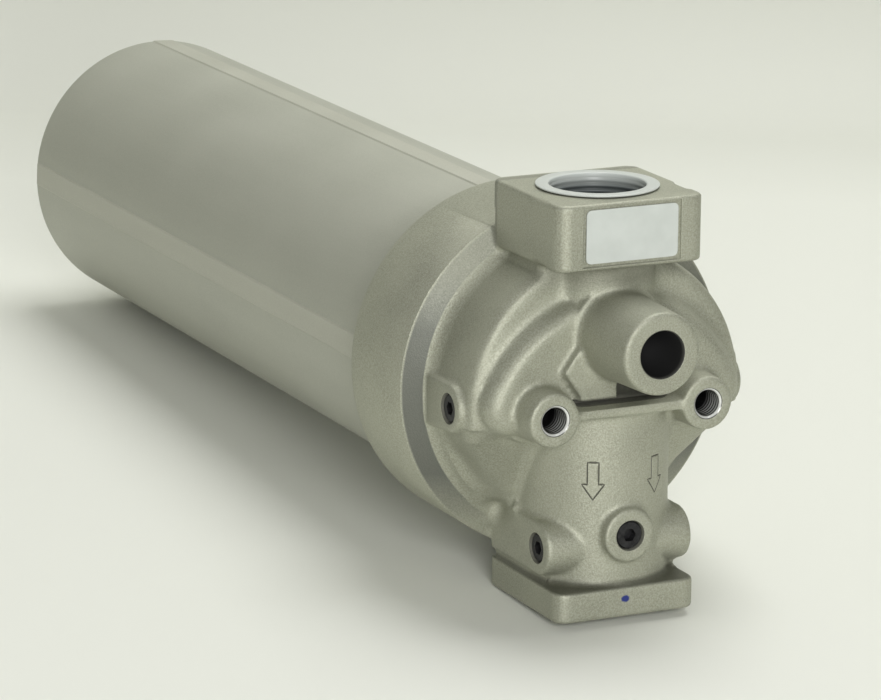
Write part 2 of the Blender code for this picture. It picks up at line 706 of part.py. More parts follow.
def make_bowl_seals():
    ring = round_ring("bowl_seal", bore_r + SEAL_SECTION_R, SEAL_SECTION_R, STEPS_LARGE)
    part(ring, RUBBER, ALONG_BOWL, (0, SEAL_Y, 0))
    rear = groove_rear - GAP
    front = rear - BACKUP_THICKNESS
    outer_r = seal_floor_r - GAP
    section = [(bore_r, rear), (outer_r, rear), (outer_r, front), (bore_r, front)]
    part(turned("bowl_backup_ring", section, STEPS_LARGE, ring=True), PTFE, ALONG_BOWL)


# Bowl

def make_bowl():
    corner = (BOWL_R - BOWL_ROUND, bowl_end - BOWL_ROUND)
    profile = [(0, bowl_end)] + arc(corner, BOWL_ROUND, 90, 0, 4)
    profile += [(BOWL_R, bowl_mouth + MOUTH_CHAMFER), (BOWL_R - MOUTH_CHAMFER, bowl_mouth)]
    profile += [(bowl_inner_r, bowl_mouth), (bowl_inner_r, bowl_floor - BOWL_WALL)]
    profile += [(bowl_inner_r - BOWL_WALL, bowl_floor), (0, bowl_floor)]
    bowl = part(turned("bowl", profile, STEPS_LARGE), TURNED, ALONG_BOWL)
    wrench = prism("wrench_hex", hexagon(WRENCH_HEX), bowl_end - LAP, bowl_tip)
    add(bowl, bevel(wrench, BOSS_EDGE, 1), ALONG_BOWL)
    half = STRIP_WIDTH / 2
    low = (BOWL_R - LAP, -half, SKIRT_REAR + GAP)
    high = (BOWL_R + STRIP_RISE, half, bowl_end - BOWL_ROUND)
    for quarter in range(4):
        around = Matrix.Rotation(quarter * math.pi / 2, 4, "Z")
        add(bowl, box("strip", low, high), ALONG_BOWL @ around)


# Filter element

def make_end_caps():
    outer = near_cap_inner + END_CAP_THICKNESS
    sleeve_r = SPIGOT_R + GAP
    sleeve_end = near_cap_inner - SLEEVE_LENGTH
    groove_r = sleeve_r + 2 * ELEMENT_SEAL_R + GAP
    middle = near_cap_inner - SLEEVE_LENGTH / 2
    reach = ELEMENT_SEAL_R + GAP
    section = [(rim_inner_r, outer + END_CAP_RIM), (rim_outer_r, outer + END_CAP_RIM)]
    section += [(rim_outer_r, near_cap_inner), (sleeve_r + SLEEVE_WALL, near_cap_inner)]
    section += [(sleeve_r + SLEEVE_WALL, sleeve_end), (sleeve_r, sleeve_end)]
    section += [(sleeve_r, middle - reach), (groove_r, middle - reach)]
    section += [(groove_r, middle + reach), (sleeve_r, middle + reach)]
    section += [(sleeve_r, near_cap_inner), (spigot_bore_r, near_cap_inner)]
    section += [(spigot_bore_r, outer), (rim_inner_r, outer)]
    part(turned("element_open_cap", section, ring=True), PLATED, ALONG_BOWL)
    seal = round_ring("element_seal", sleeve_r + ELEMENT_SEAL_R, ELEMENT_SEAL_R)
    part(seal, RUBBER, ALONG_BOWL, (0, middle, 0))

    rim_end = far_cap_inner - END_CAP_RIM
    section = [(SEAT_R, far_cap_outer), (rim_outer_r, far_cap_outer), (rim_outer_r, rim_end)]
    section += [(rim_inner_r, rim_end), (rim_inner_r, far_cap_inner), (SEAT_R, far_cap_inner)]
    part(turned("element_closed_cap", section, ring=True), PLATED, ALONG_BOWL)


def make_pleats():
    """Folds pressed together at the core and open at the outside."""
    outline = []
    for i in range(2 * PLEATS):
        radius = ELEMENT_R - PLEAT_DEPTH * (i % 2)
        outline += arc(CENTRE, radius, 180 * i / PLEATS, 180 * i / PLEATS, 1)[:1]
    pleats = part(prism("element_pleats", outline, media_start, media_end), MEDIA, ALONG_BOWL)
    bore = rod("pleat_bore", PLEAT_INNER_R, media_start - REACH, media_end + REACH, PLEATS)
    cut(pleats, bore, ALONG_BOWL)


def make_core():
    section = [(core_inner_r, media_end), (core_r, media_end), (core_r, media_start)]
    section += [(core_inner_r, media_start)]
    core = part(turned("element_core", section, STEPS_INNER, ring=True), PLATED, ALONG_BOWL)
    rows = int((media_end - media_start) / CORE_HOLE_PITCH)
    first = (media_start + media_end - (rows - 1) * CORE_HOLE_PITCH) / 2

    def holes(shape):
        for row in range(rows):
            for i in range(CORE_HOLES_ROUND):
                turn = 2 * math.pi * (i + row % 2 / 2) / CORE_HOLES_ROUND
                outward = Matrix.Rotation(turn, 4, "Z") @ Matrix.Rotation(math.pi / 2, 4, "Y")
                spot = Matrix.Translation((0, 0, first + row * CORE_HOLE_PITCH)) @ outward
                bmesh.ops.create_cone(
                    shape, cap_ends=True, segments=CORE_HOLE_SIDES,
                    radius1=CORE_HOLE_R, radius2=CORE_HOLE_R, depth=6 * CORE_WALL,
                    matrix=spot @ Matrix.Translation((0, 0, core_r - CORE_WALL / 2)))
    cut(core, mesh_object("core_holes", holes), ALONG_BOWL)


# Bypass valve

def make_bypass():
    disc_back = media_end - POPPET_THICKNESS
    profile = [(0, media_end), (poppet_r, media_end), (poppet_r, disc_back)]
    profile += [(STEM_R, disc_back), (STEM_R, stem_end), (0, stem_end)]
    part(turned("bypass_poppet", profile, STEPS_INNER), BRASS, ALONG_BOWL)

    inner_r = CAGE_R - CAGE_WALL
    floor = cage_floor + CAGE_WALL
    section = [(inner_r, media_end), (CAGE_R, media_end), (CAGE_R, cage_floor)]
    section += [(STEM_R + STEM_GAP, cage_floor), (STEM_R + STEM_GAP, floor), (inner_r, floor)]
    cage = part(turned("bypass_cage", section, STEPS_INNER, ring=True), PLATED, ALONG_BOWL)
    low = (-2 * CAGE_R, -CAGE_WINDOW_HALF, floor + CAGE_BAND)
    high = (2 * CAGE_R, CAGE_WINDOW_HALF, media_end - CAGE_BAND)
    for quarter in range(2):
        across = Matrix.Rotation(quarter * math.pi / 2, 4, "Z")
        cut(cage, box("cage_window", low, high), ALONG_BOWL @ across)

    room = disc_back - floor - 2 * GAP
    spring = coil("bypass_spring", BYPASS_SPRING_R, BYPASS_WIRE_R, BYPASS_TURNS, room, COIL_STEPS)
    part(spring, STEEL, ALONG_BOWL, (0, floor + GAP, 0))


# Spring and cup in the bowl's end

def make_hold_down():
    spring = coil("hold_down_spring", HOLD_SPRING_R, HOLD_WIRE_R, HOLD_TURNS, HOLD_SPRING_LENGTH,
                  STEPS_SMALL)
    part(spring, STEEL, ALONG_BOWL, (0, far_cap_outer + GAP, 0))
    inner_r = HOLD_SPRING_R + HOLD_WIRE_R + CUP_CLEARANCE
    outer_r = inner_r + CUP_THICKNESS
    back = bowl_floor - GAP
    profile = [(0, back), (outer_r, back), (outer_r, back - CUP_RIM), (inner_r, back - CUP_RIM)]
    profile += [(inner_r, cup_face), (0, cup_face)]
    part(turned("spring_cup", profile, STEPS_INNER), PLATED, ALONG_BOWL)


make_head()
make_name_plate()
make_port_cap()
make_plugs()
make_bowl_seals()
make_bowl()
make_end_caps()
make_pleats()
make_core()
make_bypass()
make_hold_down()
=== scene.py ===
# %% [markdown]
# # An inline return filter
# A cast head carries oil in at the top and out at the foot, and a long bowl screws into its skirt.
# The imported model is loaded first. Every length below is in millimetres from the point where the
# port axis crosses the bowl axis, and one helper turns such a point into Blender's metres.

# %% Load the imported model
import math

import bpy
from mathutils import Matrix, Vector


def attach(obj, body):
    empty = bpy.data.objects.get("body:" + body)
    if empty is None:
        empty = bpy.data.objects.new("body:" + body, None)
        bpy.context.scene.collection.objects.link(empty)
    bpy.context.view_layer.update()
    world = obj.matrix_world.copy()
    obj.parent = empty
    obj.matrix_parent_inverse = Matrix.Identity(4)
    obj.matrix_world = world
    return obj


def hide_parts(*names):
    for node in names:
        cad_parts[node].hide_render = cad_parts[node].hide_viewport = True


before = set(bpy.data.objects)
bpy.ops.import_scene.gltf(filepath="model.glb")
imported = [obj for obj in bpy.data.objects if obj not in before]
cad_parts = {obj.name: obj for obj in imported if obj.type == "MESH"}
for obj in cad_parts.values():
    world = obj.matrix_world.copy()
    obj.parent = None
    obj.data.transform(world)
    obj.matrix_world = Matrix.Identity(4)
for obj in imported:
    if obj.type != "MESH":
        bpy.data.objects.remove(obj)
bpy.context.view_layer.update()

# %% Places in millimetres
MM = 0.001
LIFT = Vector((0, -213.6, 86.2))


def place(x, y, z):
    """A point of the port and bowl frame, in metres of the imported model."""
    return (Vector((x, y, z)) + LIFT) * MM


TO_MODEL = Matrix.Scale(MM, 4) @ Matrix.Translation(LIFT)
UP = Matrix.Identity(4)
DOWN = Matrix.Rotation(math.pi, 4, "X")
ALONG_BOWL = Matrix.Rotation(-math.pi / 2, 4, "X")
ACROSS = Matrix(((0, 0, 1, 0), (1, 0, 0, 0), (0, 1, 0, 0), (0, 0, 0, 1)))
TOWARDS_FRONT = Matrix.Rotation(math.pi / 2, 4, "X")
NOSE_FORWARD = Matrix.Rotation(-math.pi / 2, 4, "Z")


def sideways(side):
    return Matrix.Rotation(side * math.pi / 2, 4, "Y") @ NOSE_FORWARD


# %% [markdown]
# ## Camera
# The lens and viewpoint were fitted to the outlines of the ports, bosses and bowl, so the camera is
# placed by angles round the head and not by eye. It looks down on the head from its left front.

# %% Camera
AZIMUTH, ELEVATION, ROLL = math.radians(-25.423), math.radians(14.256), math.radians(0.440)
FOCAL_PIXELS, IMAGE_WIDTH = 4504.6, 881
DISTANCE, SHIFT_X, SHIFT_Y = 1818.6, 153.59, -40.61

back = Vector((math.sin(AZIMUTH) * math.cos(ELEVATION), -math.cos(AZIMUTH) * math.cos(ELEVATION),
               math.sin(ELEVATION)))
right = Vector((math.cos(AZIMUTH), math.sin(AZIMUTH), 0))
up = back.cross(right)
rolled_right = math.cos(ROLL) * right + math.sin(ROLL) * up
rolled_up = math.cos(ROLL) * up - math.sin(ROLL) * right
shift = DISTANCE / FOCAL_PIXELS
eye = -(SHIFT_X * shift) * rolled_right - (SHIFT_Y * shift) * rolled_up + DISTANCE * back
bpy.ops.object.camera_add(location=(0, 0, 0))
camera = bpy.context.active_object
camera.name = "camera"
turn = Matrix((rolled_right, rolled_up, back)).transposed().to_4x4()
camera.matrix_world = Matrix.Translation(place(*eye)) @ turn
camera.data.sensor_width = 36
camera.data.lens = 36 * FOCAL_PIXELS / IMAGE_WIDTH
camera.data.clip_end = 50
bpy.context.scene.camera = camera
print("camera at", [round(v, 3) for v in camera.location])

# %% [markdown]
# ## Floor and light
# The filter lies on the rear edge of its flange and on the far end of its bowl, so the floor is
# tilted against the model to touch both. It sweeps up into a backdrop behind the bowl, square to
# the camera's direction.

# %% Floor and backdrop
FLOOR_FRONT, FLOOR_REAR = (32.2, -86.4), (470.9, -65.0)
slope = math.atan2(FLOOR_REAR[1] - FLOOR_FRONT[1], FLOOR_REAR[0] - FLOOR_FRONT[0])
ON_FLOOR = (Matrix.Translation(place(0, FLOOR_FRONT[0], FLOOR_FRONT[1]))
            @ Matrix.Rotation(slope, 4, "X") @ Matrix.Rotation(AZIMUTH, 4, "Z"))


def only(obj):
    bpy.ops.object.select_all(action="DESELECT")
    obj.select_set(True)
    bpy.context.view_layer.objects.active = obj


def chain(name, points, close=False):
    """A line of edges through the points, drawn by extruding one vertex after another."""
    bpy.ops.object.select_all(action="DESELECT")
    bpy.ops.mesh.primitive_plane_add(size=1, location=(0, 0, 0))
    line = bpy.context.active_object
    line.name = name
    bpy.ops.object.mode_set(mode="EDIT")
    bpy.ops.mesh.select_all(action="SELECT")
    bpy.ops.mesh.merge(type="CENTER")
    spots = [Vector(p) for p in points]
    bpy.ops.transform.translate(value=spots[0])
    for here, there in zip(spots, spots[1:]):
        bpy.ops.mesh.extrude_vertices_move(TRANSFORM_OT_translate={"value": there - here})
    if close:
        bpy.ops.mesh.select_all(action="SELECT")
        bpy.ops.mesh.edge_face_add()
    bpy.ops.object.mode_set(mode="OBJECT")
    return line


def arc(centre, radius, start, stop, steps):
    angles = [math.radians(start + (stop - start) * i / steps) for i in range(steps + 1)]
    return [(centre[0] + radius * math.cos(a), centre[1] + radius * math.sin(a)) for a in angles]


SWEEP_BACK, SWEEP_R, SHEET_HALF, WALL_TOP = 0.76, 0.10, 4.0, 3.0
sweep = [(-SHEET_HALF, 0)]
sweep += [(y, z + SWEEP_R) for y, z in arc((SWEEP_BACK, 0), SWEEP_R, -90, 0, 12)]
sweep += [(SWEEP_BACK + SWEEP_R, WALL_TOP)]
sheet = chain("floor_sheet", [(-SHEET_HALF, y, z) for y, z in sweep])
bpy.ops.object.mode_set(mode="EDIT")
bpy.ops.mesh.select_all(action="SELECT")
bpy.ops.mesh.extrude_region_move(TRANSFORM_OT_translate={"value": (2 * SHEET_HALF, 0, 0)})
bpy.ops.object.mode_set(mode="OBJECT")
bpy.ops.object.shade_smooth()
sheet.data.transform(ON_FLOOR)

# %% Lamps and world
def lamp(name, spot, target, size, power):
    bpy.ops.object.light_add(type="AREA", location=spot)
    light = bpy.context.active_object
    light.name = name
    light.data.shape = "DISK"
    light.data.size = size
    light.data.energy = power
    aim = (Vector(target) - Vector(spot)).to_track_quat("-Z", "Y")
    light.rotation_euler = aim.to_euler()
    return light


lamp("front_lamp", (-0.62, -2.0, 0.62), (0, -0.1, 0.08), 0.9, 26)
lamp("top_lamp", (0.42, 0.15, 1.85), (0, 0.05, 0.05), 1.3, 25)

world = bpy.data.worlds.new("room")
bpy.context.scene.world = world
world.use_nodes = True
sky = world.node_tree.nodes["Background"]
sky.inputs["Color"].default_value = (0.96, 0.97, 0.91, 1)
sky.inputs["Strength"].default_value = 0.24
bpy.context.scene.view_settings.view_transform = "Standard"

# %% [markdown]
# ## Shader helper
# A small class wraps a socket, so that shader sums read as sums. Any other node comes from one
# method, which takes the node's type, its settings and its inputs.

# %% Shader helper
class Value:
    """A socket of a node tree that can be used in sums."""

    def __init__(self, tree, socket):
        self.tree = tree
        self.socket = socket

    def node(self, kind, inputs, output=0, **settings):
        made = self.tree.nodes.new(kind)
        for name, setting in settings.items():
            setattr(made, name, setting)
        for name, value in inputs.items():
            if isinstance(value, Value):
                self.tree.links.new(value.socket, made.inputs[name])
            else:
                made.inputs[name].default_value = value
        return Value(self.tree, made.outputs[output])

    def maths(self, operation, other=None, swap=False):
        inputs = {0: self} if other is None else {0: self, 1: other}
        if swap:
            inputs = {0: other, 1: self}
        return self.node("ShaderNodeMath", inputs, operation=operation)

    def __add__(self, other):
        return self.maths("ADD", other)

    __radd__ = __add__

    def __mul__(self, other):
        return self.maths("MULTIPLY", other)

    __rmul__ = __mul__

    def __rsub__(self, other):
        return self.maths("SUBTRACT", other, swap=True)

    def ramp(self, low, high):
        """0 below low, 1 above high, straight between."""
        return self.node("ShaderNodeMapRange", {"Value": self, "From Min": low, "From Max": high})


SOCKETS = {"ior": "IOR", "specular_level": "Specular IOR Level",
           "transmission": "Transmission Weight"}


def finish(name, colour, roughness=0.5, metallic=0.0, **constants):
    """A material with its plain values, and a Value that starts its node sums."""
    material = bpy.data.materials.new(name)
    material.use_nodes = True
    tree = material.node_tree
    shader = tree.nodes["Principled BSDF"]
    shader.inputs["Base Color"].default_value = (*colour, 1)
    shader.inputs["Roughness"].default_value = roughness
    shader.inputs["Metallic"].default_value = metallic
    for key, value in constants.items():
        shader.inputs[SOCKETS[key]].default_value = value
    coordinates = tree.nodes.new("ShaderNodeTexCoord")
    return material, shader, Value(tree, coordinates.outputs["Object"])


def noise(where, scale, detail=2.0, roughness=0.5, stretch=None):
    if stretch:
        where = where.node("ShaderNodeMapping", {"Vector": where, "Scale": stretch})
    return where.node("ShaderNodeTexNoise", {"Vector": where, "Scale": scale, "Detail": detail,
                                             "Roughness": roughness})


def feed(shader, name, value):
    value.tree.links.new(value.socket, shader.inputs[name])


def shade_mix(mask, low, high):
    """Two colours mixed by a mask. Either may be a plain colour or a Value."""
    low, high = (tone if isinstance(tone, Value) else (*tone, 1) for tone in (low, high))
    return mask.node("ShaderNodeMix", {0: mask, 6: low, 7: high}, output=2, data_type="RGBA")


def bump(height, distance, strength=1.0):
    return height.node("ShaderNodeBump", {"Height": height, "Distance": distance,
                                          "Strength": strength})


# %% [markdown]
# ## Finishes
# The head is a blasted aluminium casting: warm grey-green, a fine grain that catches the light, and
# softer blotches. Masks by place paint a dark reflection on its turned ring, and painted shade in
# the hollow under the port block and in the corner above the flange. Its bores are brighter and
# smoother.
# The bowl is drawn tube, blasted too, with faint marks along its length.

# %% Cast and machined aluminium
INK_SPOT, INK_WIDE, INK_HIGH = (-1.0, -32.2, -78.5), 2.0, 1.5
RING_FRONT, RING_REAR = 24.0, 28.0
PORT_PITCH, MOUNT_PITCH = 2.309, 1.75


def axis(where, index):
    """One coordinate of a point, 0 for X, 1 for Y or 2 for Z."""
    return where.node("ShaderNodeSeparateXYZ", {0: where}, output=index)


def depth_of(where, front, back):
    """0 at one place along the bowl axis and 1 at another."""
    return axis(where, 1).ramp(place(0, front, 0).y, place(0, back, 0).y)


def height_of(where, low, high):
    """0 at one height and 1 at another."""
    return axis(where, 2).ramp(place(0, 0, low).z, place(0, 0, high).z)


def cast_finish():
    """Blasted casting, with the dot of blue ink that marks it as inspected on the flange."""
    material, shader, where = finish("cast_aluminium_look", (0.42, 0.42, 0.34), 0.55, 0.5)
    blotch = noise(where, 38, 3).ramp(0.35, 0.68)
    grain = noise(where, 1500, 3, 0.65)
    speck = noise(where, 3200, 1)
    tone = shade_mix(blotch, (0.285, 0.29, 0.225), (0.345, 0.35, 0.275))
    tone = shade_mix(grain.ramp(0.38, 0.66) * 0.65, tone, (0.50, 0.505, 0.415))
    # Painted reflection: the turned ring is painted dark, fading out towards the bottom and partly
    # towards the top.
    ring_reflection = depth_of(where, RING_FRONT, RING_FRONT + 0.3)
    ring_reflection = ring_reflection * (1 - depth_of(where, RING_REAR, RING_REAR + 0.4))
    ring_reflection = ring_reflection * height_of(where, -60, -35) * (1 - 0.6 * height_of(where, 25, 50))
    tone = shade_mix(ring_reflection * 0.9, tone, (0.115, 0.12, 0.105))
    # Painted shade in the hollow under the port block.
    under_block_shade = height_of(where, 45, 51) * (1 - height_of(where, 57, 59))
    under_block_shade = under_block_shade * (1 - depth_of(where, -14, -4))
    tone = shade_mix(under_block_shade * 0.45, tone, (0.10, 0.10, 0.075))
    # Painted shade in the corner above the flange.
    flange_corner_shade = height_of(where, -74.6, -73.6) * (1 - height_of(where, -72.2, -70.4))
    tone = shade_mix(flange_corner_shade * 0.75, tone, (0.07, 0.07, 0.05))
    from_ink = where.node("ShaderNodeVectorMath", {0: where, 1: place(*INK_SPOT)},
                          operation="SUBTRACT")
    scaled = from_ink.node("ShaderNodeVectorMath", {
        0: from_ink, 1: (1 / (INK_WIDE * MM), 1 / (INK_HIGH * MM), 1 / (INK_HIGH * MM))},
        operation="MULTIPLY")
    away = scaled.node("ShaderNodeVectorMath", {0: scaled}, output=1, operation="LENGTH")
    ink = 1 - (away + 0.5 * noise(where, 700, 2)).ramp(1.0, 1.35)
    feed(shader, "Base Color", shade_mix(ink, tone, (0.03, 0.045, 0.22)))
    feed(shader, "Roughness", 0.44 + 0.12 * blotch)
    feed(shader, "Normal", bump(grain + 0.5 * speck, 0.00016))
    return material


def machined_finish():
    """Bored aluminium, smoother and brighter than the cast skin."""
    material, shader, where = finish("machined_aluminium_look", (0.60, 0.60, 0.54), 0.32, 0.9)
    grain = noise(where, 1500, 2, 0.6)
    tone = shade_mix(grain.ramp(0.3, 0.7), (0.56, 0.565, 0.51), (0.66, 0.66, 0.60))
    feed(shader, "Base Color", tone)
    feed(shader, "Normal", bump(grain, 0.00005))
    return material


def thread_finish():
    """Light and dark rings at the thread's pitch as painted glints and shade, and painted shade
    towards the bottom of the hole.
    """
    material, shader, where = finish("cut_thread_look", (0.85, 0.86, 0.83), 0.2, 0.35)
    # Painted shade: the colour goes nearly black towards the bottom of the hole.
    deep = depth_of(where, -26.5, -21.0)
    turns = (axis(where, 1) * (2 * math.pi / (MOUNT_PITCH * MM))).maths("SINE")
    thread_glints_and_shade = shade_mix(turns.ramp(-0.2, 0.5), (0.10, 0.10, 0.09), (0.86, 0.87, 0.84))
    feed(shader, "Base Color", shade_mix(deep, thread_glints_and_shade, (0.015, 0.015, 0.015)))
    feed(shader, "Roughness", 0.16 + 0.14 * noise(where, 600, 2))
    return material


def crevice_shade_finish():
    """Cast skin darkened with painted shade, for the slot, the plug holes and the arrow grooves
    where shade falls.
    """
    material, shader, where = finish("painted_crevice_shade_look", (0.12, 0.12, 0.095), 0.75, 0.1)
    tone = shade_mix(noise(where, 500, 3), (0.07, 0.07, 0.055), (0.16, 0.16, 0.13))
    feed(shader, "Base Color", tone)
    return material


def bore_shade_finish():
    """The indicator's bore, filled with painted shade: nearly black, a little lighter near its
    mouth.
    """
    material, shader, where = finish("painted_bore_shade_look", (0.012, 0.012, 0.012), 0.6, 0.0,
                                     specular_level=0.2)
    # Painted shade deep in the bore, lifting a little towards the mouth.
    lit_near_mouth = 1 - depth_of(where, -57.4, -55.4)
    feed(shader, "Base Color", shade_mix(lit_near_mouth, (0.010, 0.010, 0.010), (0.05, 0.05, 0.045)))
    return material


def bowl_finish(name, low, high):
    """Blasted tube. The strips along it have the same finish with lighter colours, a painted
    highlight of their flats.
    """
    material, shader, where = finish(name, high, 0.5, 0.5)
    cloud = noise(where, 14, 4, 0.55).ramp(0.35, 0.66)
    streak = noise(where, 60, 3, 0.6, stretch=(1, 0.08, 1)).ramp(0.3, 0.7)
    grain = noise(where, 1700, 2, 0.6)
    tone = shade_mix(cloud, low, high)
    tone = shade_mix(streak * 0.35, tone, tuple(c * 1.1 for c in high))
    tone = shade_mix(grain.ramp(0.35, 0.68) * 0.4, tone, tuple(c * 1.2 for c in high))
    feed(shader, "Base Color", tone)
    feed(shader, "Roughness", 0.46 + 0.12 * cloud)
    feed(shader, "Normal", bump(grain + 0.5 * streak, 0.00007))
    return material


CAST, MACHINED, THREAD = cast_finish(), machined_finish(), thread_finish()
BORE_SHADE, CREVICE_SHADE = bore_shade_finish(), crevice_shade_finish()
TUBE = bowl_finish("blasted_tube_look", (0.385, 0.39, 0.335), (0.44, 0.445, 0.385))
# The strips' copy is lighter: painted light on their flats.
STRIP_LIT = bowl_finish("blasted_strip_painted_light_look", (0.43, 0.43, 0.37), (0.49, 0.49, 0.425))

# %% Small parts' finishes
def speckled(name, low, high, roughness, metallic, scale, depth=0.00003, **constants):
    material, shader, where = finish(name, high, roughness, metallic, **constants)
    grain = noise(where, scale, 3)
    feed(shader, "Base Color", shade_mix(grain.ramp(0.3, 0.7), low, high))
    feed(shader, "Roughness", roughness - 0.06 + 0.12 * grain)
    feed(shader, "Normal", bump(grain, depth))
    return material


PLUG = speckled("black_oxide_look", (0.018, 0.018, 0.019), (0.040, 0.040, 0.042), 0.42, 0.7, 700)
SPRING = speckled("spring_steel_look", (0.16, 0.16, 0.17), (0.26, 0.26, 0.27), 0.32, 0.95, 500)
PLATED = speckled("zinc_plate_look", (0.50, 0.51, 0.50), (0.60, 0.61, 0.60), 0.30, 0.95, 260)
RUBBER = speckled("black_rubber_look", (0.016, 0.016, 0.017), (0.028, 0.028, 0.030), 0.55, 0.0, 900)
WHITE = speckled("white_ptfe_look", (0.78, 0.78, 0.75), (0.86, 0.86, 0.83), 0.42, 0.0, 300)
FILM = speckled("blank_film_look", (0.53, 0.56, 0.53), (0.58, 0.61, 0.58), 0.38, 0.0, 120, 0.00001)
MEDIA = speckled("filter_media_look", (0.76, 0.73, 0.64), (0.87, 0.85, 0.77), 0.85, 0.0, 800,
                 0.0001)
BRASS = speckled("turned_brass_look", (0.56, 0.44, 0.20), (0.68, 0.54, 0.27), 0.28, 0.95, 400)
CAP = speckled("translucent_cap_look", (0.80, 0.83, 0.82), (0.88, 0.90, 0.89), 0.30, 0.0, 90,
               0.00002, transmission=0.55, ior=1.45)

LOOKS = {"name_plate": FILM, "bowl_backup_ring": WHITE, "element_pleats": MEDIA,
         "bypass_poppet": BRASS, "bypass_spring": SPRING, "hold_down_spring": SPRING,
         "inlet_port_cap": CAP, "head_casting": CAST, "bowl": TUBE}
for node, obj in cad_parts.items():
    look = LOOKS.get(node)
    if look is None:
        look = PLUG if node.endswith("_plug") else RUBBER if "seal" in node else PLATED
    obj.data.materials.clear()
    obj.data.materials.append(look)

# %% Floor's finish
def floor_finish():
    """Pale table, a little darker where it turns up into the backdrop."""
    material, shader, where = finish("pale_floor", (0.84, 0.85, 0.78), 0.7, 0.0, specular_level=0.2)
    forward = (-math.sin(AZIMUTH), math.cos(AZIMUTH), 0)
    away = where.node("ShaderNodeVectorMath", {0: where, 1: forward}, output=1,
                      operation="DOT_PRODUCT")
    tone = shade_mix(away.ramp(0.45, 0.75), (0.785, 0.795, 0.735), (0.64, 0.65, 0.585))
    feed(shader, "Base Color", tone)
    return material


sheet.data.materials.append(floor_finish())

# %% [markdown]
# ## Head casting
# A casting is soft at every edge and has a fillet in every corner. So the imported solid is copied
# and merged, its holes are plugged, its round forms are doubled with finer ones, and all of it is
# fused by a voxel remesh. Swelling the skin and shrinking it again fills the corners with fillets.
# The skirt's rear edge, the bores, the threads, the slot and the arrows are cut crisp afterwards.

# %% Modelling helpers
def finish_edit():
    bpy.ops.mesh.select_all(action="SELECT")
    bpy.ops.mesh.remove_doubles(threshold=0.001)
    bpy.ops.mesh.normals_make_consistent(inside=False)
    bpy.ops.object.mode_set(mode="OBJECT")


def set_down(obj, turn, spot):
    """Puts a shape made in millimetres at its place, in its mesh."""
    obj.data.transform(TO_MODEL @ Matrix.Translation(spot) @ turn)
    return obj


def lathe(name, profile, steps=96, turn=UP, spot=(0, 0, 0), ring=False):
    """Spins a profile of (radius, height) about Z."""
    obj = chain(name, [(r, 0, z) for r, z in profile], ring)
    bpy.ops.object.mode_set(mode="EDIT")
    if ring:
        bpy.ops.mesh.delete(type="ONLY_FACE")
    bpy.ops.mesh.select_all(action="SELECT")
    bpy.ops.mesh.spin(steps=steps, angle=2 * math.pi, center=(0, 0, 0), axis=(0, 0, 1))
    finish_edit()
    return set_down(obj, turn, spot)


def rod(name, radius, low, high, steps=64, turn=UP, spot=(0, 0, 0)):
    return lathe(name, [(0, high), (radius, high), (radius, low), (0, low)], steps, turn, spot)


def slab(name, outline, low, high, turn=UP, spot=(0, 0, 0)):
    """Pushes a flat outline up along Z."""
    obj = chain(name, [(x, y, low) for x, y in outline], True)
    bpy.ops.object.mode_set(mode="EDIT")
    bpy.ops.mesh.select_all(action="SELECT")
    bpy.ops.mesh.extrude_region_move(TRANSFORM_OT_translate={"value": (0, 0, high - low)})
    finish_edit()
    return set_down(obj, turn, spot)


def block(name, low, high):
    outline = [(low[0], low[1]), (high[0], low[1]), (high[0], high[1]), (low[0], high[1])]
    return slab(name, outline, low[2], high[2])


def apply(obj, kind, **settings):
    """Adds a modifier and applies it at once."""
    only(obj)
    change = obj.modifiers.new(kind.lower(), kind)
    for name, value in settings.items():
        setattr(change, name, value)
    bpy.ops.object.modifier_apply(modifier=change.name)
    return obj


def cut(obj, cutter):
    apply(obj, "BOOLEAN", operation="DIFFERENCE", solver="EXACT", object=cutter)
    bpy.data.objects.remove(cutter)


def rounded(obj, width, segments, angle=50):
    return apply(obj, "BEVEL", width=width * MM, segments=segments, limit_method="ANGLE",
                 angle_limit=math.radians(angle))


def joined(name, objects):
    bpy.ops.object.select_all(action="DESELECT")
    for obj in objects:
        obj.select_set(True)
    bpy.context.view_layer.objects.active = objects[0]
    bpy.ops.object.join()
    objects[0].name = name
    return objects[0]


def in_mm(vertex):
    return vertex.co / MM - LIFT


def stretch(obj, pick, by):
    """Moves the vertices that a rule picks by their place."""
    only(obj)
    bpy.ops.object.mode_set(mode="EDIT")
    bpy.ops.mesh.select_all(action="DESELECT")
    bpy.ops.object.mode_set(mode="OBJECT")
    for vertex in obj.data.vertices:
        vertex.select = bool(pick(in_mm(vertex)))
    bpy.ops.object.mode_set(mode="EDIT")
    bpy.ops.transform.translate(value=Vector(by) * MM)
    bpy.ops.object.mode_set(mode="OBJECT")


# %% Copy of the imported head, its faces pulled back under the finer forms
PULL = 2.5
rough = bpy.data.objects.new("rough_head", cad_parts["head_casting"].data.copy())
bpy.context.scene.collection.objects.link(rough)
only(rough)
bpy.ops.object.mode_set(mode="EDIT")
bpy.ops.mesh.select_all(action="SELECT")
bpy.ops.mesh.remove_doubles(threshold=0.00001)
bpy.ops.object.mode_set(mode="OBJECT")

stretch(rough, lambda p: p.y < -57.0, (0, PULL, 0))
stretch(rough, lambda p: abs(p.x) > 20 and p.y < -32.85 and abs(p.z) < 14, (0, PULL, 0))
stretch(rough, lambda p: abs(p.x) < 14 and p.y < -33.05 and p.z < -38, (0, PULL, 0))
for side in (-1, 1):
    stretch(rough, lambda p: side * p.x > 63.4 and p.y < 23.6, (-side * PULL, 0, 0))
    stretch(rough, lambda p: 31.85 < side * p.x < 32.55 and -72 < p.z < -46.5, (-side * PULL, 0, 0))
print("rough head:", len(rough.data.vertices), "vertices")

